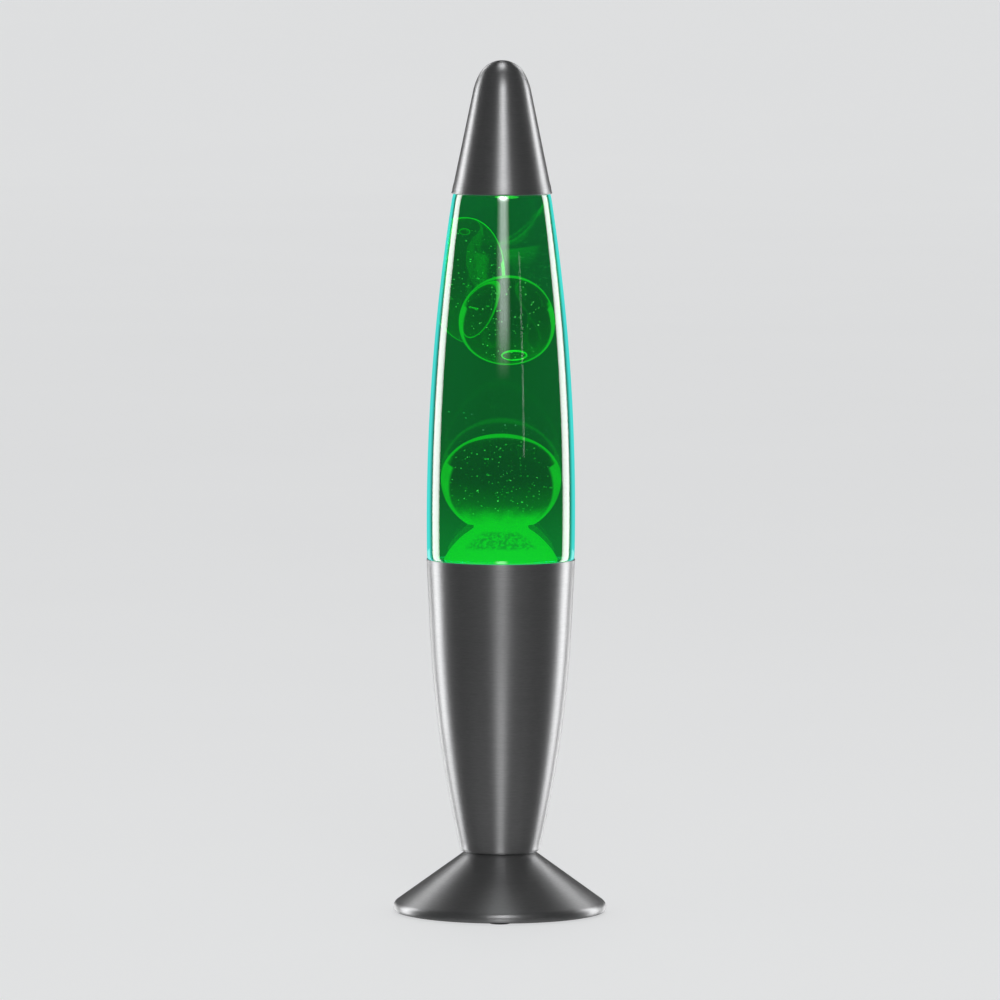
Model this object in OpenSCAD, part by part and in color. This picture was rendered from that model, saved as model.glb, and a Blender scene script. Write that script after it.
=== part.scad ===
/* [Foot] */
// Largest radius of the foot, at its rolled rim
foot_r = 43.66; // [43:0.01:44.5]
// Height of the waist, where the foot meets the barrel
waist_z = 25.6; // [25:0.1:26]
// Radius of the foot at the waist
waist_r = 15.3; // [15:0.1:15.6]
// Run of the foot's cone for each unit of drop
foot_run = 1.38; // [1.36:0.01:1.4]
// Outer radius of the rolled rim
rim_roll = 3.2; // [3:0.1:3.6]
// Thickness of the foot's sheet metal
foot_t = 1; // [0.8:0.1:1.1]
// Radius of the black bottom cover
cover_r = 42.3; // [42:0.1:42.4]

/* [Barrel] */
// Height of the barrel's mouth
mouth_z = 145.9; // [144:0.1:147]
// Radius of the barrel at its mouth
mouth_r = 30.4; // [30.3:0.05:30.6]
// Taper of the straight upper barrel, radius for each unit of height
barrel_taper = 0.05; // [0.045:0.001:0.055]
// Height below which the barrel curves in
belly_z = 116; // [112:1:120]
// Radius of the curve below the belly
belly_arc = 485; // [480:5:500]
// Thickness of the barrel's sheet metal
barrel_t = 0.6; // [0.5:0.05:0.65]

/* [Bottle] */
// Largest radius of the glass bottle
glass_r = 30.39; // [30.2:0.01:30.45]
// Height of the bottle's widest place
glass_z = 163.8; // [160:0.1:168]
// Radius of the bottle's long curve
glass_arc = 835; // [830:1:845]
// Wall of the bottle
glass_t = 2.2; // [1.8:0.1:2.4]
// Underside of the bottle
bottle_base_z = 117; // [117:0.1:118]
// Top of the bottle's finish, under the closure
finish_z = 319.2; // [318.8:0.1:319.4]
// Surface of the liquid in the neck
fill_z = 309; // [306:0.5:312]

/* [Wax] */
// Radius of the wax pool near the bottle's floor
pool_r = 24.6; // [24:0.1:25]
// Radius of the dome that the pool swells into
dome_r = 22.1; // [21:0.1:23]
// Radius of the rising blob
low_r = 17.5; // [15:0.1:18]
// Radius of the round blob
round_r = 15.2; // [13:0.1:15.4]
// Radius of the long blob
long_r = 7.2; // [6:0.1:7.4]

/* [Cap] */
// Overall height of the lamp
total_z = 350; // [350:0.1:351]
// Radius of the cap's round nose
nose_r = 10.5; // [10.4:0.05:10.6]
// Radius of the cap's lip
lip_r = 20.6; // [20.5:0.05:20.8]
// Underside of the cap's lip
lip_z = 295.6; // [295.4:0.1:295.8]
// Angle of the cap's flank from upright
flank_a = 11.68; // [11.5:0.02:11.9]
// Thickness of the cap's sheet metal
cap_t = 0.6; // [0.5:0.05:0.65]

/* [Fittings] */
// Outer radius of the threaded tube
tube_r = 5; // [4.8:0.1:5]
// Bore radius of the threaded tube
tube_bore_r = 3.5; // [3.3:0.1:3.7]
// Width across the flats of the clamp nuts
nut_af = 14; // [13:0.5:15]
// Outer radius of the lampholder
holder_r = 11.5; // [11:0.1:12]
// Radius of the bulb's screw shell
screw_r = 6.9; // [6.7:0.05:6.95]
// Largest radius of the reflector bulb
bulb_r = 19.5; // [18:0.1:20]
// Lowest point of the bulb's contact
bulb_z = 38; // [37.8:0.1:38.2]
// Bore radius of the cord bush
cord_r = 2.7; // [2.5:0.1:3]
// Height of the cord bush's axis
cord_z = 11.5; // [11:0.1:12]
// Radius of one insulated lead
lead_r = 0.9; // [0.7:0.05:1]

/* [Hidden] */
$fn = 96;
gap = 0.1;                                  // between still faces that would otherwise touch
air = 0.3;                                  // between faces that move apart
barrel_z = waist_z + 0.05;
barrel_floor = 1;
cover_z = 0.6;
cover_t = 1.6;
cover_edge_z = 2.75;
block = [22, 11, 9];
pole_pitch = 7;
block_at = [0, 18, cover_z + cover_t + block[2] / 2 + gap];
round_at = [1.3, -8.2, 244];
long_at = [-8, 12.4, 258.8];
low_z = 178.7;                              // widest place of the rising blob
low_rise = 18.7;                            // its height above there
low_drop = 21.8;                            // and below, were it whole
dome_z = 121;
dome_h = 41;
pool_top_z = 159;

// Points of an arc about c, from angle a to angle b, in n steps
function arc(c, r, a, b, n) = [for (i = [0:n]) c + r * [cos(a + (b - a) * i / n), sin(a + (b - a) * i / n)]];
function reversed(p) = [for (i = [len(p) - 1:-1:0]) p[i]];
function barrel_r(z) = mouth_r - barrel_taper * (mouth_z - z) - pow(max(0, belly_z - z), 2) / (2 * belly_arc);
function bottle_r(z) = glass_r - pow(z - glass_z, 2) / (2 * glass_arc);

module spin(points) rotate_extrude() polygon(points);
module ring(r, bore, z, h) translate([0, 0, z]) difference() {
  cylinder(r = r, h = h);
  translate([0, 0, -1]) cylinder(r = bore, h = h + 2);
}
module hex(z, h) translate([0, 0, z]) cylinder(r = nut_af / sqrt(3), h = h, $fn = 6);

// ---- foot -----------------------------------------------------------------------------------
foot_normal = atan(foot_run);
roll_c = [foot_r - rim_roll,
          waist_z - (foot_r - rim_roll * (1 - cos(foot_normal)) - waist_r) / foot_run
          - rim_roll * sin(foot_normal)];
foot_hole_r = tube_r + gap;

// The foot's outer line set in by t, from its lower edge to the waist
function foot_line(t) = concat(arc(roll_c, rim_roll - t, -12, foot_normal, 9),
                               [[waist_r - t * cos(foot_normal) - t * (1 - sin(foot_normal)) * foot_run, waist_z - t]]);

module foot_cone(t_out, t_in) spin(concat(foot_line(t_out), [[0, waist_z - t_out], [0, waist_z - t_in]],
                                          reversed(foot_line(t_in))));

module foot_shell() color("#8d9094") difference() {
  foot_cone(0, foot_t);
  cylinder(r = foot_hole_r, h = waist_z + 1);
  translate([0, 0, cord_z]) rotate([-90, 0, 0]) cylinder(r = bush_r + 0.05, h = foot_r + 1);
}

module bottom_cover() color("#151515") difference() {
  union() {
    spin([[0, cover_z], [cover_r - 0.6, cover_z], [cover_r, cover_z + 0.6], [cover_r, cover_edge_z],
          [cover_r - 2.2, cover_edge_z], [cover_r - 2.2, 5.4], [cover_r - 3.4, 5.4],
          [cover_r - 3.4, cover_z + cover_t], [0, cover_z + cover_t]]);
    for (s = [-1, 1]) translate([s * (block[0] / 2 + 1.1) - 1, block_at[1] - 3, cover_z + cover_t - 0.5])
      cube([2, 6, 7]);
  }
  for (i = [0:11]) rotate([0, 0, 15 + 30 * i]) translate([24, -1.2, -1]) cube([7, 2.4, 6]);
  for (a = pad_angles) rotate([0, 0, a]) translate([pad_at, 0, -1]) cylinder(r = pad_r + 0.05, h = 2.05);
}

pad_angles = [0, 90, 180, 270];
pad_at = 36;
pad_r = 4.5;
module rubber_pads() color("#242424") for (a = pad_angles) rotate([0, 0, a])
  translate([pad_at, 0, 0]) rotate_extrude() polygon([[0, 0], [pad_r - 0.4, 0], [pad_r, 0.4], [pad_r, 1], [0, 1]]);

// The bush is a grommet: its two flanges follow the slope of the foot
bush_r = 4.2;
bush_flange_r = 5.2;
module cord_bush() color("#101010") difference() {
  union() {
    intersection() {
      translate([0, 25, cord_z]) rotate([-90, 0, 0]) cylinder(r = bush_flange_r, h = 20);
      union() {
        foot_cone(-0.8, -0.05);
        foot_cone(foot_t + 0.05, foot_t + 1.3);
      }
    }
    intersection() {
      translate([0, 25, cord_z]) rotate([-90, 0, 0]) cylinder(r = bush_r, h = 20);
      foot_cone(-0.8, foot_t + 1.3);
    }
    translate([0, 26, cord_z]) rotate([-90, 0, 0]) cylinder(r = bush_r - 0.4, h = 12.5);
  }
  translate([0, 20, cord_z]) rotate([-90, 0, 0]) cylinder(r = cord_r, h = 30);
}

// ---- threaded tube and its fasteners ----------------------------------------------------------
nut_h = 3;
washer_t = 0.6;
tag_t = 0.5;
washer_z = waist_z - foot_t - washer_t;
tag_z = washer_z - tag_t;
floor_top_z = barrel_z + barrel_floor;

module nipple_tube() color("#b9b4a6") ring(tube_r, tube_bore_r, 18.5, 14.1);
module clamp_nut(z) difference() {
  intersection() {
    hex(z, nut_h);
    spin([[0, z], [nut_af / 2 + 0.3, z], [nut_af / 2 + 1.2, z + 0.7], [nut_af / 2 + 1.2, z + nut_h - 0.7],
          [nut_af / 2 + 0.3, z + nut_h], [0, z + nut_h]]);
  }
  translate([0, 0, z - 1]) cylinder(r = tube_r + 0.02, h = nut_h + 2);
}
module lower_nut() color("#c9b26a") clamp_nut(tag_z - nut_h);
module upper_nut() color("#c9b26a") clamp_nut(floor_top_z + gap / 2);
module lock_washer() color("#a8a8a8") difference() {
  ring(7.4, tube_r + gap, washer_z, washer_t);
  for (i = [0:11]) rotate([0, 0, 30 * i]) translate([6.3, -0.5, washer_z - 1]) cube([2, 1, washer_t + 2]);
}
module earth_tag() color("#d2d2cc") {
  ring(7.6, tube_r + gap, tag_z, tag_t);
  difference() {
    translate([7, -2, tag_z]) cube([7, 4, tag_t]);
    translate([12, 0, tag_z - 1]) cylinder(r = 1, h = 3);
  }
}

// ---- barrel ------------------------------------------------------------------------------------
barrel_edge = 2.4;
// The barrel's outer line set in by t, from the rounded lower edge to the mouth
function barrel_line(t) = concat(
  [for (a = [-80:16:0]) [barrel_r(barrel_z + barrel_edge) - barrel_edge / 2 * (1 - cos(a)) - t,
                         barrel_z + barrel_edge * (1 + sin(a)) + (t > 0 ? barrel_floor : 0) * -sin(a)]],
  [for (i = [1:20]) let (z = barrel_z + barrel_edge + (mouth_z - barrel_z - barrel_edge) * i / 20)
    [barrel_r(z) - t, z]]);
module barrel_shell() color("#808387") difference() {
  spin(concat([[0, barrel_z]], barrel_line(0), reversed(barrel_line(barrel_t)), [[13, floor_top_z], [0, floor_top_z]]));
  cylinder(r = tube_r + gap, h = 40);
  for (a = [0:60:300]) rotate([0, 0, a]) translate([10.2, 0, 20]) cylinder(r = 1.5, h = 12);
}

// ---- lampholder ---------------------------------------------------------------------------------
holder_z = floor_top_z + nut_h + gap;
deck_z = 35.4;
deck_top_z = 37.2;
holder_top_z = 57;
module holder_dome() color("#e9e6dc") difference() {
  spin([[tube_r + 0.02, holder_z], [8.6, holder_z], [holder_r - 0.6, holder_z + 2], [holder_r - 0.6, deck_z - 1.2],
        [holder_r - 1.8, deck_z - 1.2], [holder_r - 1.8, holder_z + 2.6], [8, holder_z + 1.6],
        [tube_r + 0.02, holder_z + 1.6]]);
}
module holder_body() color("#efece2") difference() {
  union() {
    ring(holder_r, 9.2, deck_z - 1.1, holder_top_z - deck_z + 1.1);
    translate([0, 0, deck_z]) cylinder(r = 9.4, h = deck_top_z - deck_z);
    ring(holder_r + 1.4, holder_r - 0.3, 50, 2);
  }
  for (s = [-1, 1]) translate([s * 6, 0, deck_z - 1]) cylinder(r = 1.55, h = 5);
}
module holder_screw_shell() color("#cda349") {
  ring(7.8, screw_r + air, deck_top_z + 1.2, 14);
  for (s = [-1, 1]) translate([s * 8.05 - 0.9, -2, deck_top_z + 1.2]) cube([1.8, 4, 3]);
}
module holder_contact() color("#d6b25c") {
  translate([0, 0, deck_top_z]) cylinder(r = 3.4, h = 0.4);
  translate([0, 0, deck_top_z + 0.3]) cylinder(r = 1.5, h = bulb_z - deck_top_z - 0.3 - air / 2);
}
module holder_terminals() color("#c8c8c4") for (s = [-1, 1]) translate([s * 6, 0, deck_z - 1.6]) {
  cylinder(r = 1.4, h = 3.2);
  translate([0, 0, -1]) cylinder(r = 2, h = 1.2);
}

// ---- supply terminals and inner leads -----------------------------------------------------------
module terminal_block() color("#e4e2da") difference() {
  translate(block_at) cube(block, center = true);
  for (s = [-1, 0, 1]) translate(block_at + [s * pole_pitch, 0, 0]) {
    rotate([90, 0, 0]) cylinder(r = 1.6, h = block[1] + 2, center = true);
    for (t = [-1, 1]) translate([0, t * 3, 0]) cylinder(r = 1.6, h = block[2]);
  }
}
module terminal_screws() color("#c9b26a") for (s = [-1, 0, 1], t = [-1, 1])
  translate(block_at + [s * pole_pitch, t * 3, 1.7]) difference() {
    cylinder(r = 1.5, h = 2.2);
    translate([-2, -0.25, 1.6]) cube([4, 0.5, 1]);
  }

// Direction u turned the least that makes it square to direction d
function squared(u, d) = let (w = d / norm(d), v = u - (u * w) * w) v / norm(v);
// A smooth curve through points p: n steps in each span
function curve(p, n) = let (m = len(p) - 1, at = function (i) p[max(0, min(m, i))]) concat(
  [for (i = [0:m - 1], k = [0:n - 1]) let (t = k / n, a = at(i - 1), b = at(i), c = at(i + 1), d = at(i + 2))
    0.5 * (2 * b + (c - a) * t + (2 * a - 5 * b + 4 * c - d) * t * t + (3 * b - a - 3 * c + d) * t * t * t)],
  [p[m]]);
// A closed tube along a path, whose first ring starts in direction u0
module swept(path, r, sides, u0) {
  m = len(path) - 1;
  along = [for (i = [0:m]) path[min(m, i + 1)] - path[max(0, i - 1)]];
  points = [for (i = 0, u = squared(u0, along[0]); i <= m; i = i + 1, u = i > m ? u : squared(u, along[i]))
    let (v = cross(along[i] / norm(along[i]), u)) for (k = [0:sides - 1])
      path[i] + r * (cos(360 * k / sides) * u + sin(360 * k / sides) * v)];
  polyhedron(points, concat(
    [[for (k = [0:sides - 1]) k]], [[for (k = [sides - 1:-1:0]) m * sides + k]],
    [for (i = [0:m - 1], k = [0:sides - 1])
      [i * sides + k, (i + 1) * sides + k, (i + 1) * sides + (k + 1) % sides, i * sides + (k + 1) % sides]]));
}
live_path = [[0, 14, 7], [0.2, 10.5, 7.2], [0.6, 7, 8.4], [1, 4, 11], [1.5, 1.2, 14.6], [1.6, 0, 18.5],
             [1.6, 0, 24], [1.6, 0, 30], [1.9, 0.3, 32.2], [2.9, 0.5, 33.7], [4.4, 0.3, 33.9]];
neutral_path = [[-7, 14, 7], [-6.6, 10.5, 7.2], [-5.2, 7, 8.6], [-3.6, 4, 11.4], [-2, 1.2, 15], [-1.6, 0, 18.5],
                [-1.6, 0, 24], [-1.6, 0, 30], [-1.9, -0.3, 32.2], [-2.9, -0.5, 33.7], [-4.4, -0.3, 33.9]];
earth_path = [[12, 0, 23.2], [12.2, 0, 21], [12.6, 1.5, 17], [11.8, 5, 12], [9.2, 9, 8], [7.2, 11.4, 7], [7, 14, 7]];
module lead_live() color("#8a4a22") swept(curve(live_path, 5), lead_r, 8, [1, 0, 0]);
module lead_neutral() color("#2a62b8") swept(curve(neutral_path, 5), lead_r, 8, [1, 0, 0]);
module lead_earth() color("#5fa83a") swept(curve(earth_path, 6), lead_r, 8, [1, 0, 0]);

// ---- bulb ---------------------------------------------------------------------------------------
shell_z = bulb_z + 3;
shell_top_z = bulb_z + 18;
module bulb_tip_contact() color("#c9c9c2") spin([[0, bulb_z], [1.2, bulb_z], [2.2, bulb_z + 0.4], [2.2, bulb_z + 0.9], [0, bulb_z + 0.9]]);
module bulb_insulator() color("#2a2b33") spin([[0, bulb_z + 1], [2.6, bulb_z + 1], [screw_r - 1, shell_z - 0.1],
  [screw_r - 1, shell_z], [0, shell_z]]);
module bulb_screw_shell() color("#c7c8c4") spin([[screw_r - 1, shell_z + 0.05], [screw_r - 0.3, shell_z + 0.6],
  [screw_r, shell_z + 1.4], [screw_r, shell_top_z], [screw_r - 0.4, shell_top_z], [screw_r - 0.4, shell_z + 1.4],
  [screw_r - 1, shell_z + 0.7]]);
// The bulb's outer line set in by t: neck, reflector cone, round shoulder, shallow front
function bulb_line(t) = concat([[5.9 - t, shell_z + 3], [6.2 - t, shell_top_z], [6.9 - t, shell_top_z + 1.5]],
  [for (i = [1:8]) let (u = i / 9) [7 + (bulb_r - 8) * sin(90 * pow(u, 1.15)) - t, shell_top_z + 1.5 + 30 * u]],
  arc([bulb_r - 8, bulb_z + 54], 8 - t, -4, 66, 8), [[0, bulb_z + 64 - t]]);
module bulb_glass() color([0.9, 0.9, 0.88, 0.6])
  spin(concat(bulb_line(0), reversed(bulb_line(0.7))));
module bulb_stem() color([0.85, 0.9, 0.9, 0.6]) spin([[0, shell_z + 3.5], [3.6, shell_z + 3.5], [3, shell_z + 6],
  [1.6, shell_z + 12], [1.6, shell_z + 22], [0, shell_z + 22]]);
module bulb_filament() color("#9a9a94") {
  for (s = [-1, 1]) translate([s * 4.6, 0, shell_z + 18]) cylinder(r = 0.3, h = 18);
  for (s = [-1, 1]) translate([s * 1.5, 0, shell_z + 18]) rotate([0, s * 90, 0]) cylinder(r = 0.3, h = 3.1);
  translate([-4.6, 0, shell_z + 35.6]) rotate([0, 90, 0]) cylinder(r = 0.5, h = 9.2);
}

// ---- bottle, liquid, wax, closure ---------------------------------------------------------------
rim_taper_z = mouth_z - 0.3;
heel_r = 4;
heel_at = [24.2, bottle_base_z + heel_r];
// The bottle's outer wall set in by t, from the heel to the shoulder
function bottle_line(t) = concat(
  arc(heel_at, heel_r - t, -90, 0, 5),
  [[29.45 - t, rim_taper_z], [29.75 - t, mouth_z + 0.5], [30.08 - t, mouth_z + 1.6]],
  [for (i = [0:24]) let (z = mouth_z + 4 + (294 - mouth_z - 4) * i / 24) [bottle_r(z) - t, z]],
  [[19.6 - t, 296], [18.4 - t * 0.95, 299.5 - t * 0.2], [16.2 - t * 0.9, 303.4 - t * 0.4]]);
neck_out_r = 12.6;
mouth_bore_r = 8.2;
module bottle_glass() color([0.75, 0.95, 0.9, 0.3]) spin(concat(
  [[0, bottle_base_z + 1.2], [16, bottle_base_z + 0.8]], bottle_line(0),
  [[13.6, 306.3], [neck_out_r, 308.6], [neck_out_r, 313.8], [13.3, 314.5], [13.3, 318.5], [12.8, finish_z],
   [mouth_bore_r, finish_z], [mouth_bore_r, 310], [11.2, 305.6]],
  reversed(bottle_line(glass_t)), [[0, bottle_base_z + 3.4]]));

// An upright egg of radius r from z0 to z1
module egg(r, z0, z1, n) let (c = (z0 + z1) / 2, h = (z1 - z0) / 2)
  spin([for (i = [0:n]) let (a = -90 + 180 * i / n) [abs(a) == 90 ? 0 : r * cos(a), c + h * sin(a)]]);

pool_z = bottle_base_z + 3.6;
function dome_line(g) = [for (i = [0:14]) let (z = 128 + (pool_top_z - 128) * i / 14)
  [dome_r * sqrt(1 - pow((z - dome_z) / dome_h, 2)) + g, z + (i == 14 ? g : 0)]];
module pool(g) spin(concat([[0, pool_z - g], [22.6, pool_z - g], [pool_r + g, pool_z + 2 - g / 2], [pool_r + g, 124.5]],
                           dome_line(g), [[0, pool_top_z + g]]));
module low(g) let (z0 = pool_top_z + 0.5, a0 = asin((z0 - low_z) / low_drop), r = low_r + g) spin(concat(
  [[0, z0 - g], [r * cos(a0), z0 - g]],
  [for (i = [0:16]) let (a = a0 + (90 - a0) * i / 17) [r * cos(a), low_z + ((a < 0 ? low_drop : low_rise) + g) * sin(a)]],
  [[0, low_z + low_rise + g]]));
module round_blob(g) translate([round_at[0], round_at[1], 0]) egg(round_r + g, round_at[2] - 18 - g, round_at[2] + 18 + g, 18);
module long_blob(g) translate([long_at[0], long_at[1], 0]) egg(long_r + g, long_at[2] - 25 - g, long_at[2] + 25 + g, 18);

wax = "#19d22c";
module wax_pool() color(wax) pool(0);
module wax_low() color(wax) low(0);
module wax_round() color(wax) round_blob(0);
module wax_long() color(wax) long_blob(0);
module liquid() color([0.1, 0.45, 0.3, 0.5]) difference() {
  spin(concat([[0, bottle_base_z + 3.5]], bottle_line(glass_t + gap), [[11.1, 305.5], [mouth_bore_r - gap, fill_z], [0, fill_z]]));
  pool(air);
  low(air);
  round_blob(air);
  long_blob(air);
}

coil_turns = 20;
coil_at = 17;
coil_r = 2.6;
coil_steps = 9;
// The heat-spreading coil: a wire helix closed into a ring on the bottle's floor
module heat_coil() color("#b4b6b8") {
  path = [for (i = [0:coil_turns * coil_steps - 1]) let (a = 354 * i / (coil_turns * coil_steps), b = 360 * i / coil_steps,
          q = coil_at + coil_r * cos(b)) [q * cos(a), q * sin(a), pool_z + 3.4 + coil_r * sin(b)]];
  swept(path, 0.5, 6, [1, 0, 0]);
}

module closure_seal() color("#d8d4c8") translate([0, 0, finish_z + 0.03]) cylinder(r = 12.6, h = 0.5);
crown_z = finish_z + 0.6;
crown_t = 0.27;
module crown_closure() color("#c9c9c9") spin([[0, crown_z], [12.9, crown_z], [13.55, crown_z - 0.7], [13.6, 316.6],
  [14.2, 314.1], [14.2 + crown_t, 314.1], [13.6 + crown_t, 316.7], [13.55 + crown_t, crown_z - 0.5],
  [13, crown_z + crown_t], [0, crown_z + crown_t]]);

// ---- cap ------------------------------------------------------------------------------------------
nose_c = [0, total_z - nose_r];
nose_a = 30;
flank = [cos(flank_a), sin(flank_a)];
flank_at = [12.62, 333.8];
shoulder_r = (flank * flank_at - flank * nose_c - nose_r * cos(nose_a - flank_a)) / (1 - cos(nose_a - flank_a));
shoulder_c = nose_c + (nose_r - shoulder_r) * [cos(nose_a), sin(nose_a)];
function flank_r(z) = flank_at[0] + (flank_at[1] - z) * tan(flank_a);
// The cap's outer line set in by t, from the nose to the flank's lower end
function cap_line(t) = concat([[0, total_z - t]], arc(nose_c, nose_r - t, 78, nose_a, 6),
  arc(shoulder_c, shoulder_r - t, nose_a - 4, flank_a, 4),
  [[flank_r(300.5) - t / cos(flank_a), 300.5], [flank_r(297.7) + 0.14 - t / cos(flank_a), 297.7]]);
module cap_shell() color("#8f9296") spin(concat(cap_line(0),
  [[lip_r, lip_z + 0.6], [lip_r - 0.06, lip_z + 0.2], [lip_r - 0.25, lip_z], [lip_r - cap_t + 0.05, lip_z + 0.1],
   [lip_r - cap_t - 0.02, lip_z + 0.6]], reversed(cap_line(cap_t))));

rubber_pads();
bottom_cover();
foot_shell();
cord_bush();
lower_nut();
lock_washer();
earth_tag();
nipple_tube();
upper_nut();
barrel_shell();
holder_dome();
holder_body();
holder_screw_shell();
holder_contact();
holder_terminals();
terminal_block();
terminal_screws();
lead_live();
lead_neutral();
lead_earth();
bulb_tip_contact();
bulb_insulator();
bulb_screw_shell();
bulb_glass();
bulb_stem();
bulb_filament();
bottle_glass();
heat_coil();
wax_pool();
wax_low();
wax_round();
wax_long();
liquid();
closure_seal();
crown_closure();
cap_shell();
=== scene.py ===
"""A wax motion lamp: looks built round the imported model, in metres, Z up, front towards -Y."""

import math
import random

import bmesh
import bpy
from mathutils import Matrix, Vector


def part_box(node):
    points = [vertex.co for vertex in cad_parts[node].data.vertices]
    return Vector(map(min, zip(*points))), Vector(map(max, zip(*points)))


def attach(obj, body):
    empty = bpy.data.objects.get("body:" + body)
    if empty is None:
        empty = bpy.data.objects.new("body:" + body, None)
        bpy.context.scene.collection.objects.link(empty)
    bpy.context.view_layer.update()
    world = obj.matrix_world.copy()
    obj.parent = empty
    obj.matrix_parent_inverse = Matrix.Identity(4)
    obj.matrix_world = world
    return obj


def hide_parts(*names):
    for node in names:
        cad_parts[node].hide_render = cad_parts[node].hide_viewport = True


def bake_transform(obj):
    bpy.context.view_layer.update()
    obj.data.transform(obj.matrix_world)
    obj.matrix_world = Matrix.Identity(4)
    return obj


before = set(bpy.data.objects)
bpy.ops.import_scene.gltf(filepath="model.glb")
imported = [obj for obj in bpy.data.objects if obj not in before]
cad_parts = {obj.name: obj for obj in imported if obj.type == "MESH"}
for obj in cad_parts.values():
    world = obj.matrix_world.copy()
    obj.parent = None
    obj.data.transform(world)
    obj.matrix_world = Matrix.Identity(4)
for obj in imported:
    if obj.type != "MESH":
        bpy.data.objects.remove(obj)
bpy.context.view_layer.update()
MM = 0.001
TAU = 2 * math.pi


# ---- view and softboxes -----------------------------------------------------------------------

AIM = Vector((-0.0004, 0, 0.170))
CAMERA_AT = Vector((-0.0004, -3.614, 0.453))
CAMERA_ROLL = 0.0028  # radians
LENS = 318.6  # mm, on a sensor 36 mm wide
LAMP_MIDDLE = Vector((0, 0, 0.20))


def aimed(at, target):
    """A turn that points an object's -Z from one place to another, with its Y up."""
    return (Vector(target) - Vector(at)).to_track_quat("-Z", "Y").to_euler()


def make_camera():
    data = bpy.data.cameras.new("camera")
    data.sensor_width = 36
    data.lens = LENS
    data.clip_start, data.clip_end = 0.1, 60
    camera = bpy.data.objects.new("camera", data)
    camera.location = CAMERA_AT
    camera.rotation_euler = aimed(CAMERA_AT, AIM)
    camera.rotation_euler.rotate_axis("Z", CAMERA_ROLL)
    bpy.context.collection.objects.link(camera)
    bpy.context.scene.camera = camera


def softbox(name, at, width, height, radiance):
    """A white rectangular light that faces the lamp's middle, which the camera doesn't see directly."""
    data = bpy.data.lights.new(name, "AREA")
    data.shape = "RECTANGLE"
    data.size, data.size_y = width, height
    data.energy = radiance * math.pi * width * height
    light = bpy.data.objects.new(name, data)
    light.location = at
    light.rotation_euler = aimed(at, LAMP_MIDDLE)
    light.visible_camera = False
    bpy.context.collection.objects.link(light)
    return light


# ---- shader expressions -----------------------------------------------------------------------

class Value:
    """One output socket. Arithmetic on it adds Math nodes to its material."""

    def __init__(self, material, socket):
        self.material, self.socket = material, socket

    def math(self, operation, *others, clamp=False):
        return self.material.node("Math", {"operation": operation, "use_clamp": clamp},
                                  dict(enumerate((self, *others))))

    def __add__(self, other):
        return self.math("ADD", other)

    def __sub__(self, other):
        return self.math("SUBTRACT", other)

    def __rsub__(self, other):
        return self * -1 + other

    def __mul__(self, other):
        return self.math("MULTIPLY", other)

    def __pow__(self, other):
        return self.math("POWER", other)

    __radd__, __rmul__ = __add__, __mul__

    def between(self, low, high):
        """0 below low, 1 above high, smooth between."""
        return self.material.node("MapRange", {"interpolation_type": "SMOOTHSTEP"},
                                  {"Value": self, "From Min": low, "From Max": high}, "Result")


class Finish:
    """A node tree built by expressions: a new material's, or the given light's or world's."""

    def __init__(self, name, data=None):
        self.data = data or bpy.data.materials.new(name)
        self.data.use_nodes = True
        self.tree = self.data.node_tree
        self.tree.nodes.clear()
        self.place = self.node("TexCoord", output="Object")

    def node(self, kind, settings=None, inputs=None, output=0):
        """Adds a node: its type, its settings, then the values or links of its sockets."""
        made = self.tree.nodes.new("ShaderNode" + kind)
        for key, setting in (settings or {}).items():
            if key == "stops":
                ramp = made.color_ramp
                while len(ramp.elements) < len(setting):
                    ramp.elements.new(0.5)
                for element, (at, colour) in zip(ramp.elements, setting):
                    element.position, element.color = at, (*colour, 1)
            else:
                setattr(made, key, setting)
        for key, value in (inputs or {}).items():
            if isinstance(value, Value):
                self.tree.links.new(value.socket, made.inputs[key])
            else:
                made.inputs[key].default_value = value
        return Value(self, made.outputs[output])

    def axis(self, name):
        return self.node("SeparateXYZ", {}, {"Vector": self.place}, name)

    def scaled(self, x, y, z):
        return self.node("Mapping", {}, {"Vector": self.place, "Scale": (x, y, z)})

    def noise(self, at, scale, detail, roughness):
        return self.node("TexNoise", {}, {"Vector": at, "Scale": scale, "Detail": detail,
                                          "Roughness": roughness}, "Fac")

    def mix(self, factor, a, b):
        """A colour mix of a and b."""
        node = self.tree.nodes.new("ShaderNodeMix")
        node.data_type = "RGBA"
        for key, value in ((0, factor), (6, a), (7, b)):
            if isinstance(value, Value):
                self.tree.links.new(value.socket, node.inputs[key])
            else:
                node.inputs[key].default_value = (*value, 1) if isinstance(value, tuple) else value
        return Value(self, node.outputs[2])

    def bump(self, height, distance, strength):
        return self.node("Bump", {}, {"Height": height, "Distance": distance, "Strength": strength},
                         "Normal")

    def principled(self, **sockets):
        """The Principled shader; socket names have _ for a space, and a colour is three numbers."""
        inputs = {key.replace("_", " "): (*value, 1) if isinstance(value, tuple) else value
                  for key, value in sockets.items()}
        return self.node("BsdfPrincipled", {}, inputs, "BSDF")

    def ended(self, surface, absorbed=None, density=0.0):
        """Joins the surface, and the colour that the depth leaves, to the output."""
        output = self.tree.nodes.new("ShaderNodeOutputMaterial")
        self.tree.links.new(surface.socket, output.inputs["Surface"])
        if absorbed:
            depth = self.node("VolumeAbsorption", {}, {"Color": (*absorbed, 1), "Density": density})
            self.tree.links.new(depth.socket, output.inputs["Volume"])
        return self.data


# ---- studio light -----------------------------------------------------------------------------

def panel(name, turn, rise, away, width, height, radiance):
    """A softbox at a turn and a rise in degrees from the lamp's middle; turn 0 is the front."""
    turn, rise = math.radians(turn), math.radians(rise)
    at = Vector((math.sin(turn) * math.cos(rise), -math.cos(turn) * math.cos(rise), math.sin(rise)))
    return softbox(name, at * away + LAMP_MIDDLE, width, height, radiance)


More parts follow.
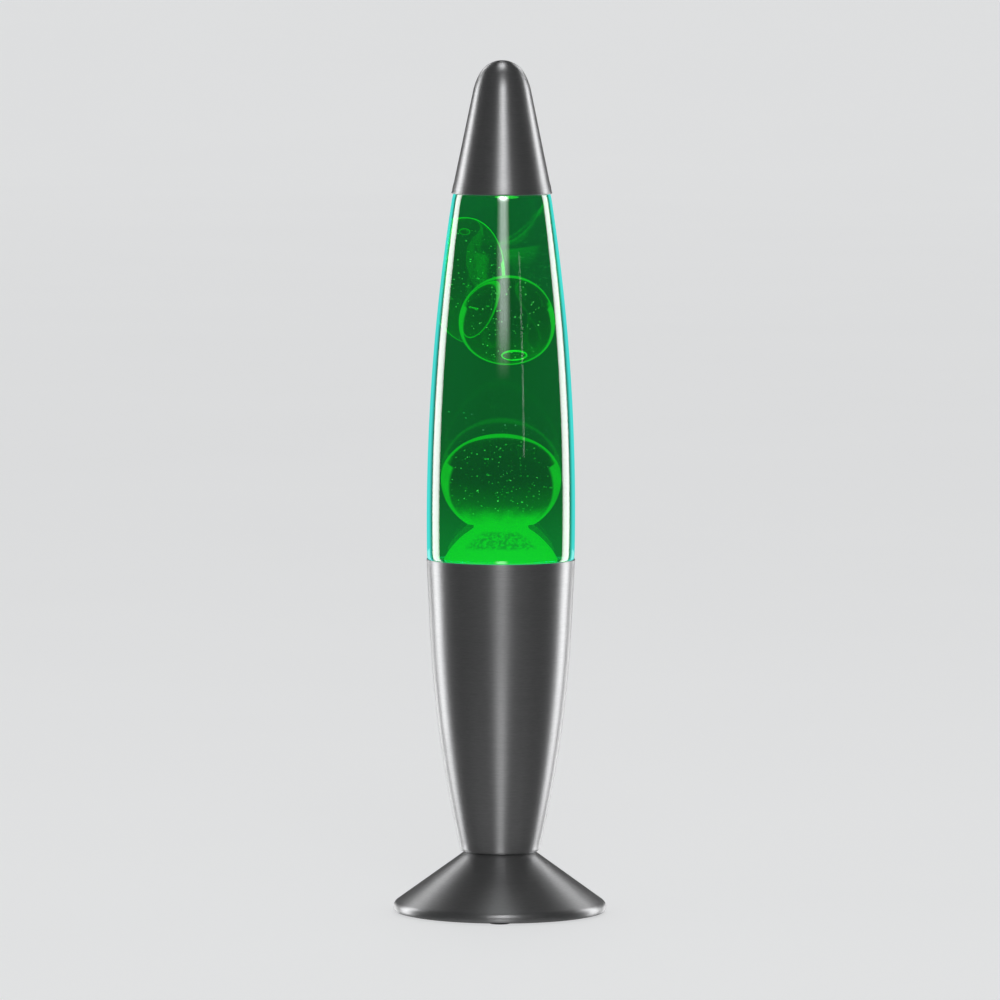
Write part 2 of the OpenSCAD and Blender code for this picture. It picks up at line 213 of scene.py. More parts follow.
def softened(light, across, up):
    """Shapes a softbox's strength by (place, strength) stops across its width and up its height."""
    f = Finish(light.name, light.data)
    spot = f.node("NewGeometry", output="Parametric")
    x, y = (f.node("SeparateXYZ", {}, {"Vector": spot}, a) for a in "XY")
    level = 1.0
    for place, stops in ((x, across), (y, up)):
        ramp = f.node("ValToRGB", {"stops": [(at, (v, v, v)) for at, v in stops]}, {"Fac": place},
                      "Color")
        level = f.node("SeparateXYZ", {}, {"Vector": ramp}, "X") * level
    glow = f.node("Emission", {}, {"Strength": level}, "Emission")
    f.tree.links.new(glow.socket, f.tree.nodes.new("ShaderNodeOutputLight").inputs["Surface"])
    return light


def make_lights(floor):
    """Softboxes round the lamp. Those in low don't light the floor, or show through the glass."""
    low = []
    for side, name in ((-1, "left"), (1, "right")):
        low.append(softened(panel(f"side_{name}", side * 122, -1, 0.95, 0.38, 1.10, 3.3),
                            ((0, 0.45), (0.22, 1), (0.78, 1), (1, 0.45)),
                            ((0, 0.2), (0.15, 1), (0.9, 1), (1, 0.2))))
        for rise, height, radiance in ((-17, 0.36, 2.2), (28, 0.30, 2.4)):
            low.append(panel(f"rear_{name}_{rise}", side * 155, rise, 1.12, 0.32, height, radiance))
    softened(panel("front", 3.0, 20, 2.0, 0.98, 1.10, 7.6),
             ((0, 0), (0.18, 0.3), (0.36, 0.9), (0.485, 1), (0.50, 0.25), (0.515, 1), (0.66, 0.9),
              (0.86, 0.32), (1, 0)),
             ((0, 0), (0.03, 0.015), (0.15, 0.13), (0.30, 0.16), (0.56, 0.22), (0.70, 1), (1, 1)))
    low.append(softened(panel("front_low", 1, -29, 1.60, 0.58, 0.80, 1.6),
                        ((0, 0), (0.35, 1), (0.65, 1), (1, 0)), ((0, 0.2), (0.3, 1), (1, 1))))
    low.append(softbox("floor_bounce", Vector((0, 0, -0.62)), 2.4, 2.4, 0.15))
    spared = bpy.data.collections.new("floor_spared")
    spared.objects.link(floor)
    spared.collection_objects[0].light_linking.link_state = "EXCLUDE"
    for light in low:
        light.visible_transmission = False
        light.light_linking.receiver_collection = spared
    panel("front_sliver", 36.5, 6, 2.00, 0.02, 0.50, 1.5)
    softened(panel("overhead", 180, 77, 1.50, 0.46, 0.80, 3.3),
             ((0, 0.15), (0.38, 1), (0.62, 1), (1, 0.25)), ((0, 1), (1, 1)))


def make_world():
    """A dim studio, a little brighter and green where it shows through the lamp's liquid."""
    world = bpy.data.worlds.new("studio")
    dark = Finish("studio", world)
    through = dark.node("LightPath", output="Is Transmission Ray")
    tint = dark.mix(through, (0.96, 0.98, 1.0), (0.07, 1.0, 0.60))
    sky = dark.node("Background", {}, {"Color": tint, "Strength": through * 0.080 + 0.022})
    dark.tree.links.new(sky.socket, dark.tree.nodes.new("ShaderNodeOutputWorld").inputs["Surface"])
    bpy.context.scene.world = world


# ---- mesh helpers -----------------------------------------------------------------------------

def finished(name, mesh_maker, material, smooth_below=40):
    """A new piece from a bmesh, smooth except where faces meet more sharply than the angle."""
    mesh = bpy.data.meshes.new(name)
    mesh_maker.to_mesh(mesh)
    mesh_maker.free()
    mesh.shade_smooth()
    mesh.set_sharp_from_angle(angle=math.radians(smooth_below))
    mesh.materials.append(material)
    piece = bpy.data.objects.new(name, mesh)
    bpy.context.collection.objects.link(piece)
    return piece


def arc(centre, radius, start, end, steps):
    """Points round a centre, angles in degrees from the radial direction."""
    turns = [math.radians(start + (end - start) * i / steps) for i in range(steps + 1)]
    return [(centre[0] + radius * math.cos(a), centre[1] + radius * math.sin(a)) for a in turns]


def spin_mesh(outline, steps=160):
    """A bmesh of revolution from (radius, height) pairs in mm, closed if it starts off the axis."""
    maker = bmesh.new()
    points = [maker.verts.new((r * MM, 0, z * MM)) for r, z in outline]
    on_axis = outline[0][0] == 0
    pairs = list(zip(points, points[1:])) + ([] if on_axis else [(points[-1], points[0])])
    edges = [maker.edges.new(pair) for pair in pairs]
    bmesh.ops.spin(maker, geom=points + edges, cent=(0, 0, 0), axis=(0, 0, 1), angle=TAU, steps=steps,
                   use_merge=True)
    bmesh.ops.remove_doubles(maker, verts=maker.verts, dist=1e-7)
    bmesh.ops.recalc_face_normals(maker, faces=maker.faces)
    return maker


def spun(name, outline, material, body, replaced=(), steps=160, smooth_below=40):
    piece = finished(name, spin_mesh(outline, steps), material, smooth_below)
    return settle(piece, body, replaced)


def settle(piece, body, replaced=()):
    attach(piece, body)
    if replaced:
        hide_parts(*replaced)
    return piece


# ---- finishes ---------------------------------------------------------------------------------

def spun_aluminium(name, lean):
    """Satin spun sheet with its grain in rings, each at one height plus lean times its radius."""
    f = Finish(name)
    x, y, z = (f.axis(a) for a in "XYZ")
    along = z + (x * x + y * y) ** 0.5 * lean
    hair = f.noise(f.node("CombineXYZ", {}, {"X": x * 420, "Y": y * 420, "Z": along * 5200}), 1.0, 2, 0.6)
    rings = f.noise(f.node("CombineXYZ", {}, {"X": x * 60, "Y": y * 60, "Z": along * 1500}), 1.0, 2, 0.5)
    smudge = f.noise(f.place, 30.0, 3, 0.55).between(0.45, 0.75)
    tone = hair * 0.75 + rings * 0.25
    colour = f.mix(tone.between(0.25, 0.75), (0.355, 0.357, 0.362), (0.445, 0.447, 0.452))
    rough = hair * 0.06 + rings * 0.02 + smudge * 0.03 + 0.33
    return f.ended(f.principled(Base_Color=colour, Metallic=0.92, Roughness=rough, Anisotropic=0.55,
                                Anisotropic_Rotation=0.25, Normal=f.bump(tone, 0.000008, 0.5)))


def moulded(name, low, high, rough=0.45, scale=900.0):
    """A fine-textured moulding, slightly uneven in tone."""
    f = Finish(name)
    speck = f.noise(f.place, scale, 3, 0.6)
    cloud = f.noise(f.place, scale / 25, 2, 0.5)
    colour = f.mix(cloud * 0.7 + speck * 0.3, low, high)
    return f.ended(f.principled(Base_Color=colour, Roughness=speck * 0.12 + (rough - 0.06),
                                Normal=f.bump(speck, 0.00003, 0.6)))


def turned_metal(name, low, high, rough=0.28, pitch=1500.0):
    """Bright turned or plated metal with faint tool marks and a little tarnish."""
    f = Finish(name)
    marks = f.noise(f.scaled(60, 60, pitch), 1.0, 2, 0.5)
    tarnish = f.noise(f.place, 180.0, 4, 0.6).between(0.35, 0.75)
    colour = f.mix(tarnish, high, low)
    uneven = marks * 0.1 + tarnish * 0.12 + rough - 0.08
    return f.ended(f.principled(Base_Color=colour, Metallic=1.0, Roughness=uneven,
                                Normal=f.bump(marks, 0.00001, 0.4)))


def sleeve(name, main, stripe=None):
    """A lead's smooth plastic sleeve, with a stripe wound round an earth lead."""
    f = Finish(name)
    cloud = f.noise(f.place, 400.0, 2, 0.5)
    colour = f.mix(cloud, main, tuple(min(1, c * 1.3 + 0.01) for c in main))
    if stripe:
        band = (f.axis("X") * 700 + f.axis("Z") * 500).math("SINE").between(0.1, 0.3)
        colour = f.mix(band, colour, stripe)
    return f.ended(f.principled(Base_Color=colour, Roughness=cloud * 0.1 + 0.3))


def blown_glass():
    """Clear glass with a faint ripple, and a painted cyan glow towards its outline."""
    f = Finish("bottle_glass")
    ripple = f.noise(f.scaled(1, 1, 0.35), 60.0, 2, 0.4)
    dust = f.noise(f.place, 1500.0, 2, 0.5).between(0.68, 0.8)
    clear = f.principled(Base_Color=(1.0, 1.0, 1.0), Transmission_Weight=1.0, IOR=1.5, Coat_Weight=1.0,
                         Coat_IOR=2.1, Coat_Roughness=0.015, Roughness=dust * 0.06 + 0.004,
                         Normal=f.bump(ripple, 0.00004, 0.5))
    # Painted glow: cyan emission standing in for light caught at the glass's outline, mixed in below by
    # the facing angle.
    painted_edge_glow = f.node("Emission", {}, {"Color": f.mix(ripple, (0.05, 0.60, 0.55), (0.07, 0.72, 0.68)),
                                  "Strength": 1.25}, "Emission")
    edge = f.node("LayerWeight", {}, {"Blend": 0.5}, "Facing").between(0.60, 0.77) * 0.85
    return f.ended(f.node("MixShader", {}, {0: edge, 1: clear, 2: painted_edge_glow}), (0.30, 0.96, 0.95), 40.0)


def green_liquid():
    """Dyed water with a painted glow, standing in for the bulb's light from below, that fades with
    height.
    """
    f = Finish("green_liquid")
    cloud = f.noise(f.scaled(1, 1, 0.25), 60.0, 3, 0.5)
    # Painted glow: emission brighter low down and dimmer higher up, standing in for the bulb's light.
    rise = f.axis("Z").between(0.140, 0.180) + (cloud - 0.5) * 0.3
    glow = f.mix(rise.math("ADD", 0, clamp=True), (0.0, 0.080, 0.010), (0.0, 0.026, 0.004))
    return f.ended(f.principled(Base_Color=(1.0, 1.0, 1.0), Transmission_Weight=1.0, IOR=1.34,
                                Roughness=cloud * 0.003, Emission_Color=glow, Emission_Strength=1.0),
                   (0.02, 0.90, 0.44), 70.0)


def wax(name, middle, half, low_glow, high_glow, shine=1.0, narrow=0.66):
    """Clear warm wax: a painted dim glow that fades with height, and a painted bright rim glow, thick on
    the lower flanks.

    middle and half are the blob's middle height and half height in mm, shine the painted rim glow's
    strength, and narrow how far round the painted rim glow starts, from 0 in the middle to 1 at the
    outline. Returns the Finish, its cloud noise, the shader, and the depth's colour and density.
    """
    f = Finish(name)
    cloud = f.noise(f.place, 160.0, 4, 0.6)
    share = (f.axis("Z") * (1000 / half)) - middle / half
    # Painted glow: emission that fades with height, standing in for the bulb's light.
    glow = f.mix(share.between(-0.9, 0.1), low_glow, high_glow)
    clear = f.principled(Base_Color=(0.72, 1.0, 0.66), Transmission_Weight=1.0, IOR=1.12,
                         Roughness=cloud * 0.02, Emission_Color=glow, Emission_Strength=1.0)
    # Painted rim glow: bright green emission mixed in by the facing angle, thicker on the lower flanks.
    painted_rim_glow = f.node("Emission", {}, {"Color": f.mix(cloud, (0.006, 0.50, 0.012), (0.014, 0.86, 0.03)),
                                    "Strength": shine}, "Emission")
    flank = share.between(-0.95, 0.28) * (1 - share.between(0.26, 0.36))
    start = narrow - flank * 0.26 - share.between(0.70, 1.0) * 0.16
    facing = f.node("LayerWeight", {}, {"Blend": 0.5}, "Facing")
    rim = facing.between(start, start + 0.10) * 0.92
    return f, cloud, f.node("MixShader", {}, {0: rim, 1: clear, 2: painted_rim_glow}), ((0.05, 0.50, 0.03), 48.0)


def rising_wax():
    """The pool has a painted glow over the bulb, mottled darker by a froth of bubbles near its crown; the
    blob above is clear wax.
    """
    f, cloud, clear, depth = wax("rising_wax", 178.7, 19.5, (0.0, 0.10, 0.002), (0.0, 0.006, 0.0))
    froth = f.noise(f.place, 800.0, 3, 0.7).between(0.40, 0.60)
    facing = f.node("LayerWeight", {}, {"Blend": 0.5}, "Facing")
    crown = f.axis("Z").between(0.1503, 0.1520) * (1 - f.axis("Z").between(0.1572, 0.1586))
    crown = crown * (1 - facing.between(0.30, 0.44))
    # Painted glow of the pool: bright green emission, darker where the froth falls, kept clean towards
    # the outline.
    tone = f.mix(froth * crown, (0.006, 0.78, 0.014), (0.008, 0.38, 0.018))
    full = f.principled(Base_Color=(0.01, 0.10, 0.01), Roughness=cloud * 0.2 + 0.3,
                        Specular_IOR_Level=0.1, Emission_Color=tone, Emission_Strength=1.0)
    level = f.axis("Z") + (cloud - 0.5) * 0.008
    joined = f.node("MixShader", {}, {0: level.between(0.1600, 0.1690), 1: full, 2: clear})
    return f.ended(joined, *depth)


def drifting_wax(name, middle, half, shine=1.0, narrow=0.66):
    """Wax for a blob that is clear of the pool, with a dimmer painted glow and the painted rim glow."""
    f, _, clear, depth = wax(name, middle, half, (0.0, 0.035, 0.0), (0.0, 0.004, 0.0), shine, narrow)
    return f.ended(clear, *depth)


def bubble_finish(name, dim, bright):
    """Tiny air bubbles with a painted glow and painted glints, standing in for the bulb's light they
    catch.
    """
    f = Finish(name)
    # Painted glints: noise spots that brighten the painted glow.
    spark = f.noise(f.place, 700.0, 1, 0.5).between(0.4, 0.65)
    glow = f.mix(spark, dim, bright)
    return f.ended(f.principled(Base_Color=glow, Roughness=spark * 0.1 + 0.1, Emission_Color=glow,
                                Emission_Strength=1.0))


def reflector_bulb():
    """Silvered sides, and a frosted front that glows."""
    f = Finish("bulb_envelope")
    frost = f.noise(f.place, 800.0, 3, 0.6)
    front = f.axis("Z").between(0.0925, 0.0945)
    tone = f.mix(front, (0.78, 0.78, 0.79), (0.92, 0.90, 0.84))
    glow = f.mix(front, (0, 0, 0), (1.0, 0.92, 0.74))
    rough = frost * 0.1 + front * 0.4 + 0.06
    return f.ended(f.principled(Base_Color=tone, Metallic=1 - front, Roughness=rough, Emission_Color=glow,
                                Emission_Strength=1.4, Normal=f.bump(frost, 0.00002, 0.5)))


# ---- the lamp's outlines, in mm ------------------------------------------------------------------

def extent(node):
    """A node's lowest and highest corners in mm."""
    return [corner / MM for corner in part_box(node)]


barrel_low, barrel_high = extent("barrel_shell")
bottle_low, bottle_high = extent("bottle_glass")
cap_low, cap_high = extent("cap_shell")
MOUTH_R, MOUTH_Z = barrel_high.x, barrel_high.z
BELLY_Z = 116  # the barrel curves in below this
GLASS_R, GLASS_WALL = bottle_high.x, 2.2
WIDEST_Z = 163.8  # the bottle's widest place
SHEET = 0.6  # wall of the barrel and the cap
ROUND_AT, ROUND_RADII = (2.1, -7.4, 244), (16.6, 14.0, 18.2)
LONG_AT, LONG_RADII = (-8.6, 12.3, 258.8), (9.5, 5.4, 25.4)
LOW_AT, LOW_RADII = (0, 0, 178.7), (18.4, 18.4, 18.7)


def barrel_r(z):
    """The barrel's outer radius: a straight taper, then a long curve."""
    return MOUTH_R - 0.05 * (MOUTH_Z - z) - max(0, BELLY_Z - z) ** 2 / 970


def bottle_r(z):
    """The bottle's outer radius on its long curve."""
    return GLASS_R - (z - WIDEST_Z) ** 2 / 1670


def steps_between(low, high, count):
    return [low + (high - low) * i / count for i in range(count + 1)]


def barrel_outline():
    """The barrel with its floor, open at the tube's hole, and a rounded lower edge."""
    floor, edge = barrel_low.z, 1.7
    corner_r = barrel_r(floor + edge) - edge / 2
    outer = [(corner_r + edge / 2 * math.cos(a), floor + edge + edge * math.sin(a))
             for a in (math.radians(d) for d in range(-90, 0, 10))]
    outer += [(barrel_r(z), z) for z in steps_between(floor + edge, MOUTH_Z - 0.3, 60)]
    rim = arc((MOUTH_R - 0.3, MOUTH_Z - 0.3), 0.3, 10, 170, 8)
    inner = [(barrel_r(z) - SHEET, z) for z in steps_between(MOUTH_Z - 0.5, floor + edge, 60)]
    return [(5.1, floor)] + outer + rim + inner + [(corner_r - 0.4, floor + 1), (5.1, floor + 1)]


def foot_outline():
    """The cone, with a rolled rim; it lies 0.9 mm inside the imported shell's slope."""
    run, roll, wall, inside = 1.38, 3.2, 1.0, 0.9
    top = extent("foot_shell")[1].z
    slope = math.atan(run)
    lean = math.degrees(slope)
    waist_r, rim_r = 15.3, 43.66
    fall = (rim_r - roll * (1 - math.cos(slope)) - waist_r) / run
    centre = (rim_r - roll, top - inside - fall - roll * math.sin(slope))
    outer = arc(centre, roll, -25, lean, 18)
    shoulder = [(waist_r - 0.55, top - 0.5), (waist_r - 0.85, top - 0.25), (waist_r - 1.3, top)]
    inner = arc(centre, roll - wall, lean, -25, 14)
    tuck = math.radians(-25)
    lip = (centre[0] + 2.72 * math.cos(tuck), centre[1] + 2.72 * math.sin(tuck))
    curl = arc(lip, 0.48, -10, -190, 6)
    under = [(5.1, top), (5.1, top - wall), (waist_r - 2.6, top - wall)]
    return outer + shoulder + under + inner + list(reversed(curl))


def cap_outline():
    """The cap: a round nose, a curved shoulder, a straight flank and a beaded lip."""
    top = cap_high.z
    lean, turn, nose = 11.68, 30, 10.5
    across, up = math.cos(math.radians(lean)), math.sin(math.radians(lean))
    gap = math.cos(math.radians(turn - lean))
    flank = across * 12.62 + up * 333.8
    shoulder = (flank - up * (top - nose) - nose * gap) / (1 - gap)
    nose_at = (0, top - nose)
    shoulder_at = ((nose - shoulder) * math.cos(math.radians(turn)),
                   nose_at[1] + (nose - shoulder) * math.sin(math.radians(turn)))

    def line(t):
        slope = [(12.62 + (333.8 - z) * up / across - t / across, z)
                 for z in steps_between(335, 300.5, 24)]
        return (arc(nose_at, nose - t, 90, turn, 24)
                + arc(shoulder_at, shoulder - t, turn - 2, lean, 10) + slope)

    lip_r, lip_z = cap_high.x, cap_low.z
    flare = [(lip_r - 0.42 - 0.36 * (1 - u), lip_z + 2.2 + 1.8 * (1 - u)) for u in (0.3, 0.7)]
    bead = arc((lip_r - 0.34, lip_z + 0.36), 0.36, 60, -170, 12)
    outer = line(0)
    outer[0] = (0, top)
    inner = line(SHEET)
    inner[0] = (0, top - SHEET)
    return outer + flare + bead + [(lip_r - 0.95, lip_z + 2.2)] + list(reversed(inner))


def bottle_line(t):
    """The bottle's outer wall set in by t, from the heel to the shoulder."""
    heel = arc((24.2, bottle_low.z + 4), 4 - min(t, 2), -90, 0, 12)
    taper = [(29.45 - t, MOUTH_Z - 0.3), (29.5 - t, MOUTH_Z + 0.04), (29.95 - t, MOUTH_Z + 0.14),
             (30.08 - t, MOUTH_Z + 0.5), (30.17 - t, MOUTH_Z + 1.5)]
    wall = [(bottle_r(z) - t, z) for z in steps_between(MOUTH_Z + 3.2, 293.5, 72)]
    shoulder = [(19.62 - t, 296.2), (19.0 - t, 298.2), (18.0 - t * 0.97, 300.4 - t * 0.1),
                (16.9 - t * 0.93, 302.4 - t * 0.3), (15.6 - t * 0.88, 304.2 - t * 0.45)]
    return heel + taper + wall + shoulder


def bottle_outline():
    """The bottle's outside, its neck's finish, and its inside down to the punt."""
    base, top = bottle_low.z, bottle_high.z
    neck = [(14.2, 305.8), (13.2, 307.1), (12.6, 308.8), (12.6, 313.6), (12.9, 314.2), (13.25, 314.6),
            (13.3, 315), (13.3, 318.2), (13.1, 318.9), (12.6, top), (9.0, top), (8.3, top - 0.4),
            (8.2, top - 1), (8.2, 310.5), (8.6, 308.6), (9.8, 306.8), (11.6, 305)]
    punt = [(0, base + 1.2), (10, base + 1.1), (18, base + 0.6), (22, base + 0.15)]
    floor = [(20, base + 3.45), (0, base + 3.4)]
    return punt + bottle_line(0) + neck + list(reversed(bottle_line(GLASS_WALL))) + floor


def liquid_outline():
    """The liquid, sunk a little into the glass so that no air shows between them."""
    base, sunk = bottle_low.z, 0.06
    top = extent("liquid")[1].z
    neck = [(11.6 + sunk, 305), (9.8 + sunk, 306.8), (8.6 + sunk, top - 0.4), (7.9, top - 0.15),
            (7, top), (0, top)]
    return [(0, base + 3.4 - sunk), (20, base + 3.45 - sunk)] + bottle_line(GLASS_WALL - sunk) + neck


def rising_outline():
    """Pool, dome, neck and the low blob, from the pool's underside to the blob's top."""
    base = bottle_low.z + 3.6
    pool = [(0, base), (20, base), (23, base + 0.4), (24.4, base + 1.8), (24.6, base + 4),
            (24.2, base + 6.5)]
    dome = [(22.1 * math.sqrt(1 - ((z - 121) / 41) ** 2), z) for z in steps_between(129, 158.4, 30)]
    crease = [(8.35, 159.3), (8.25, 159.9), (8.6, 160.6)]
    middle = LOW_AT[2]
    low, high = 21.8, extent("wax_low")[1].z - middle
    blob = [(LOW_RADII[0] * math.cos(a), middle + (low if a < 0 else high) * math.sin(a))
            for a in (math.radians(d) for d in steps_between(-56, 86, 56))]
    return pool + dome + crease + blob + [(0, middle + high)]


# ---- pieces -------------------------------------------------------------------------------------

def egg(name, centre, radii, material, body, replaced=(), droop=0.0):
    """An upright egg: droop is the share by which it narrows at its top and widens at its foot."""
    maker = bmesh.new()
    bmesh.ops.create_icosphere(maker, subdivisions=5, radius=1)
    for vert in maker.verts:
        x, y, z = vert.co
        narrow = 1 - droop * z
        vert.co = Vector((centre[0] + radii[0] * x * narrow, centre[1] + radii[1] * y * narrow,
                          centre[2] + radii[2] * z)) * MM
    return settle(finished(name, maker, material), body, replaced)


def make_shells():
    for name, outline, lean, body in (("barrel", barrel_outline(), 0.3, "base"),
                                      ("foot", foot_outline(), -1.0, "base"),
                                      ("cap", cap_outline(), -0.6, "cap")):
        spun(name, outline, spun_aluminium(f"{name}_metal", lean), body,
             [f"{name}_shell"], 192)


def make_bottle():
    spun("bottle", bottle_outline(), blown_glass(), "bottle", ["bottle_glass"], 192, 50)
    spun("liquid_body", liquid_outline(), green_liquid(), "bottle", ["liquid"], 192,
         50)
    rising = finished("rising_blob", spin_mesh(rising_outline(), 160), rising_wax(), 60)
    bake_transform(rising)
    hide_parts("wax_pool", "wax_low")
    # The numbers after the heights set the painted rim glow's strength and where it starts.
    round_wax = drifting_wax("round_wax", ROUND_AT[2], ROUND_RADII[2])
    long_wax = drifting_wax("long_wax", LONG_AT[2], LONG_RADII[2], 1.7, 0.58)
    drop_wax = drifting_wax("drop_wax", 232, 6, 1.6, 0.42)
    egg("round_blob", ROUND_AT, ROUND_RADII, round_wax, "round_wax", ["wax_round"], 0.06)
    egg("long_blob", LONG_AT, LONG_RADII, long_wax, "long_wax", ["wax_long"], -0.05)
    egg("round_blob_drop", (4.6, -13.6, 230.4), (4.6, 2.4, 2.3), drop_wax, "round_wax")
    egg("long_blob_drop", (-9.6, 9.6, 278.6), (1.3, 1.3, 1.3), long_wax, "long_wax")


def bubbles(name, centre, radii, count, seed, material, body, sizes=(0.17, 0.38), low=-1.0,
            clear=0.0):
    """Scattered bubbles inside an upright egg: count of them, from 0.6 of the first size to the second.

    None is below low, as a share of the egg's half height, or nearer than clear mm to its upright axis.
    """
    draw = random.Random(seed)
    maker = bmesh.new()
    made = 0
    while made < count:
        share = [draw.uniform(-1, 1) for _ in range(3)]
        near_skin = sum(c * c for c in share) > 0.80
        if near_skin or share[2] < low or math.hypot(*share[:2]) * radii[0] < clear:
            continue
        at = Vector([c + r * t for c, r, t in zip(centre, radii, share)]) * MM
        size = draw.uniform(*sizes) * (0.6 + 0.4 * draw.random()) * MM
        bmesh.ops.create_icosphere(maker, subdivisions=1, radius=size, matrix=Matrix.Translation(at))
        made += 1
    return settle(finished(name, maker, material, 180), body)


def make_bubbles():
    # The bubbles carry a painted glow with painted glints; the flat egg under the shoulder is a painted
    # bright green glow patch.
    wax_air = bubble_finish("wax_air", (0.03, 0.34, 0.03), (0.35, 1.0, 0.35))
    liquid_air = bubble_finish("liquid_air", (0.03, 0.30, 0.12), (0.3, 0.8, 0.5))
    painted_glow = bubble_finish("shoulder_film", (0.02, 0.55, 0.03), (0.06, 0.85, 0.07))
    egg("shoulder_bubble", (1.9, -15.0, 294.5), (4.6, 1.3, 0.6), painted_glow, "bottle")
    bubbles("low_blob_bubbles", LOW_AT, LOW_RADII, 150, 11, wax_air, "low_wax", low=-0.7)
    bubbles("round_blob_bubbles", ROUND_AT, ROUND_RADII, 95, 12, wax_air, "round_wax")
    bubbles("long_blob_bubbles", LONG_AT, LONG_RADII, 120, 13, wax_air, "long_wax",
            (0.16, 0.34))
    bubbles("liquid_bubbles", (0, 0, 203), (29, 29, 13), 14, 14, liquid_air, "bottle",
            (0.16, 0.32), clear=19.5)


def make_crown():
    """A pressed crown closure: its skirt has 21 flutes."""
    low, high = extent("crown_closure")
    top, flutes = high.z, 21
    outer = [(0, top), (11.4, top), (12.5, top - 0.1), (13.2, top - 0.45), (13.65, top - 1.1),
             (13.8, 317.4), (13.95, 316.3), (14.2, 315.2), (high.x, low.z)]
    inner = [(high.x - 0.27, low.z), (13.93, 315.2), (13.68, 316.3), (13.53, 317.4), (13.38, top - 1.15),
             (12.98, top - 0.65), (12.4, top - 0.36), (11.4, top - 0.27), (0, top - 0.27)]
    maker = spin_mesh(outer + inner, flutes * 8)
    for vert in maker.verts:
        x, y, z = vert.co
        reach = min(1, max(0, (317.6 - z / MM) / 2.6))
        fold = 1 - 0.020 * reach * (1 - math.cos(flutes * math.atan2(y, x)))
        vert.co.x, vert.co.y = x * fold, y * fold
    plate = turned_metal("crown_metal", (0.55, 0.54, 0.50), (0.80, 0.80, 0.79), 0.24, 300.0)
    settle(finished("crown", maker, plate, 50), "bottle", ["crown_closure"])


def make_bulb():
    """The reflector bulb's smooth envelope, and its cap with a rolled thread."""
    low, high = extent("bulb_glass")
    shell_low, shell_high = extent("bulb_screw_shell")
    waist = shell_high.z

    def line(t):
        cone = [(7 + (high.x - 8) * math.sin(math.pi / 2 * u ** 1.15) - t, waist + 1.5 + 30 * u)
                for u in steps_between(0.04, 0.92, 22)]
        front = arc((high.x - 8, high.z - 10), 8 - t, -4, 66, 14)
        neck = [(5.9 - t, low.z), (6.2 - t, waist), (6.6 - t, waist + 0.8)]
        return neck + cone + front + [(7, high.z - 0.6 - t)]

    outline = [(0, high.z - 0.3)] + list(reversed(line(0))) + line(0.7) + [(0, high.z - 1)]
    spun("bulb_envelope", outline, reflector_bulb(), "bulb", ["bulb_glass"], 128, 50)
    pitch, wall, depth = 2.822, 0.4, 0.17
    outer = [(shell_high.x, z) for z in steps_between(shell_low.z + 1.4, waist, 60)]
    inner = [(shell_high.x - wall, z) for z in steps_between(waist, shell_low.z + 1.4, 60)]
    turn_in = [(shell_high.x - 1, shell_low.z + 0.65), (shell_high.x - 1, shell_low.z),
               (shell_high.x - 0.3, shell_low.z + 0.55)]
    maker = spin_mesh(outer + inner + turn_in, 72)
    for vert in maker.verts:
        x, y, z = vert.co
        height = z / MM
        fade = (min(1, max(0, (height - shell_low.z - 1.4) / 1.5))
                * min(1, max(0, (waist - height) / 1.5)))
        wave = 1 - math.cos(TAU * height / pitch - math.atan2(y, x))
        fold = 1 - fade * depth * wave / shell_high.x
        vert.co.x, vert.co.y = x * fold, y * fold
    plated = turned_metal("bulb_cap", (0.45, 0.45, 0.46), (0.78, 0.78, 0.77))
    settle(finished("bulb_thread", maker, plated, 60), "bulb", ["bulb_screw_shell"])


def make_floor():
    """A pale round floor that curves up far from the lamp; metal and glass don't mirror it."""
    flat, rise, wall_top = 7.0, 3.0, 9.0
    sweep = [(flat + rise * math.sin(a), rise - rise * math.cos(a))
             for a in (math.radians(d) for d in range(10, 91, 10))]
    outline = [(0, 0), (0.5, 0), (flat, 0)] + sweep + [(flat + rise, wall_top)]
    maker = spin_mesh([(r / MM, z / MM) for r, z in outline], 64)
    bmesh.ops.reverse_faces(maker, faces=maker.faces)
    f = Finish("studio_floor")
    cloud = f.noise(f.place, 3.0, 3, 0.5)
    tone = f.mix(cloud, (0.30, 0.30, 0.297), (0.33, 0.33, 0.326))
    paint = f.ended(f.principled(Base_Color=tone, Roughness=cloud * 0.1 + 0.7,
                                 Emission_Color=(0.98, 0.99, 1.0), Emission_Strength=0.60))
    stage = finished("studio_floor", maker, paint)
    stage.visible_glossy = False
    stage.visible_transmission = False
    stage.visible_shadow = False
    return stage


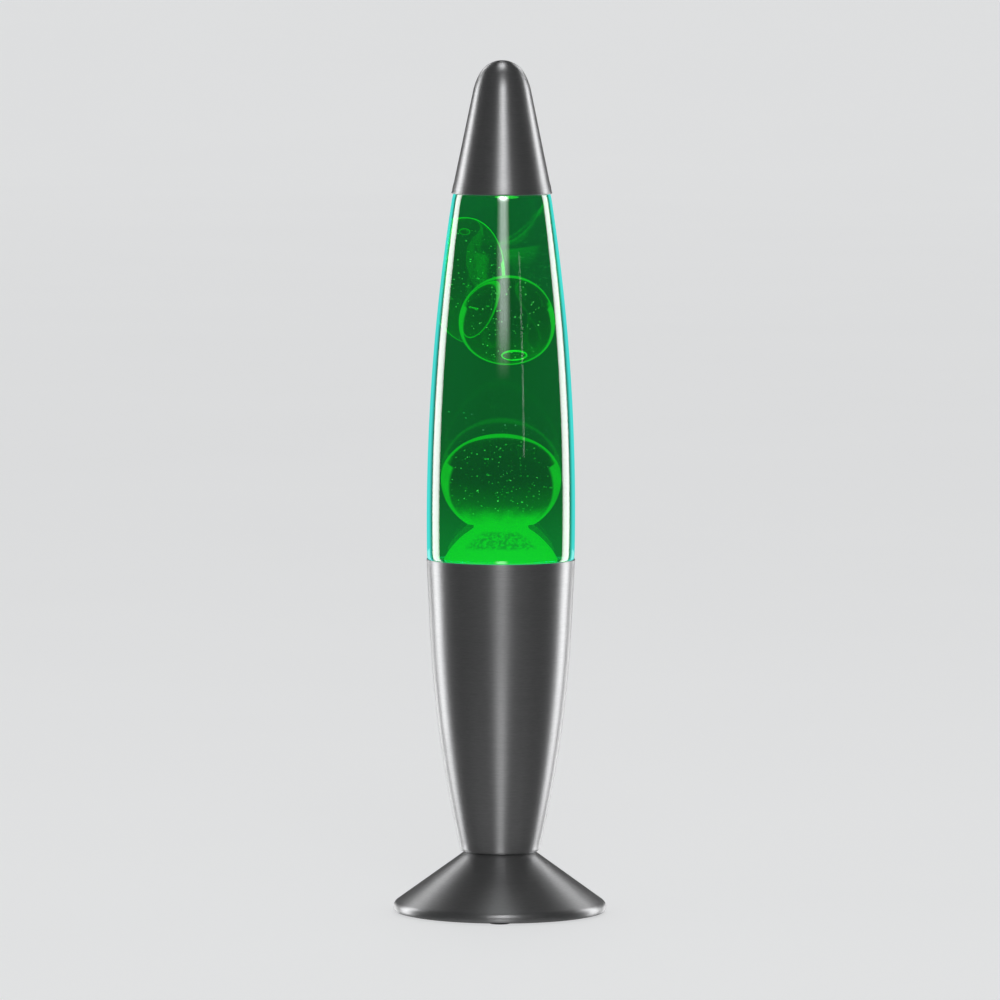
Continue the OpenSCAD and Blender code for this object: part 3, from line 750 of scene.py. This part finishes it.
def dress_cad():
    """Gives each carried-over CAD node its own finish."""
    black = moulded("black_moulding", (0.006, 0.006, 0.006), (0.016, 0.016, 0.016), 0.45)
    rubber = moulded("black_rubber", (0.012, 0.012, 0.012), (0.03, 0.03, 0.03), 0.75, 1400.0)
    white = moulded("white_holder", (0.70, 0.68, 0.60), (0.82, 0.80, 0.74), 0.35, 600.0)
    liner = moulded("seal_liner", (0.62, 0.60, 0.52), (0.75, 0.72, 0.64), 0.6)
    brass = turned_metal("yellow_brass", (0.42, 0.28, 0.10), (0.80, 0.60, 0.28))
    steel = turned_metal("zinc_steel", (0.36, 0.36, 0.36), (0.66, 0.66, 0.65))
    tin = turned_metal("tip_solder", (0.45, 0.45, 0.46), (0.78, 0.78, 0.77))
    finishes = {
        black: ["bottom_cover"], rubber: ["rubber_pads", "cord_bush"],
        white: ["holder_dome", "holder_body", "terminal_block"], liner: ["closure_seal"],
        brass: ["lower_nut", "upper_nut", "holder_screw_shell", "holder_contact", "terminal_screws"],
        steel: ["lock_washer", "earth_tag", "nipple_tube", "holder_terminals", "heat_coil",
                "bulb_filament"],
        tin: ["bulb_tip_contact"],
        moulded("black_glass", (0.01, 0.01, 0.02), (0.02, 0.02, 0.035), 0.15): ["bulb_insulator"],
        sleeve("brown_sleeve", (0.16, 0.06, 0.02)): ["lead_live"],
        sleeve("blue_sleeve", (0.02, 0.10, 0.45)): ["lead_neutral"],
        sleeve("earth_sleeve", (0.10, 0.35, 0.03), (0.75, 0.62, 0.05)): ["lead_earth"],
        moulded("stem_glass", (0.7, 0.7, 0.68), (0.8, 0.8, 0.78), 0.2): ["bulb_stem"],
    }
    for material, nodes in finishes.items():
        for node in nodes:
            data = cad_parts[node].data
            data.materials.clear()
            data.materials.append(material)


make_camera()
make_lights(make_floor())
make_world()
make_shells()
make_bottle()
make_bubbles()
make_crown()
make_bulb()
dress_cad()
bpy.context.scene.view_settings.view_transform = "Standard"
bpy.context.scene.cycles.transmission_bounces = 24
bpy.context.scene.cycles.max_bounces = 32
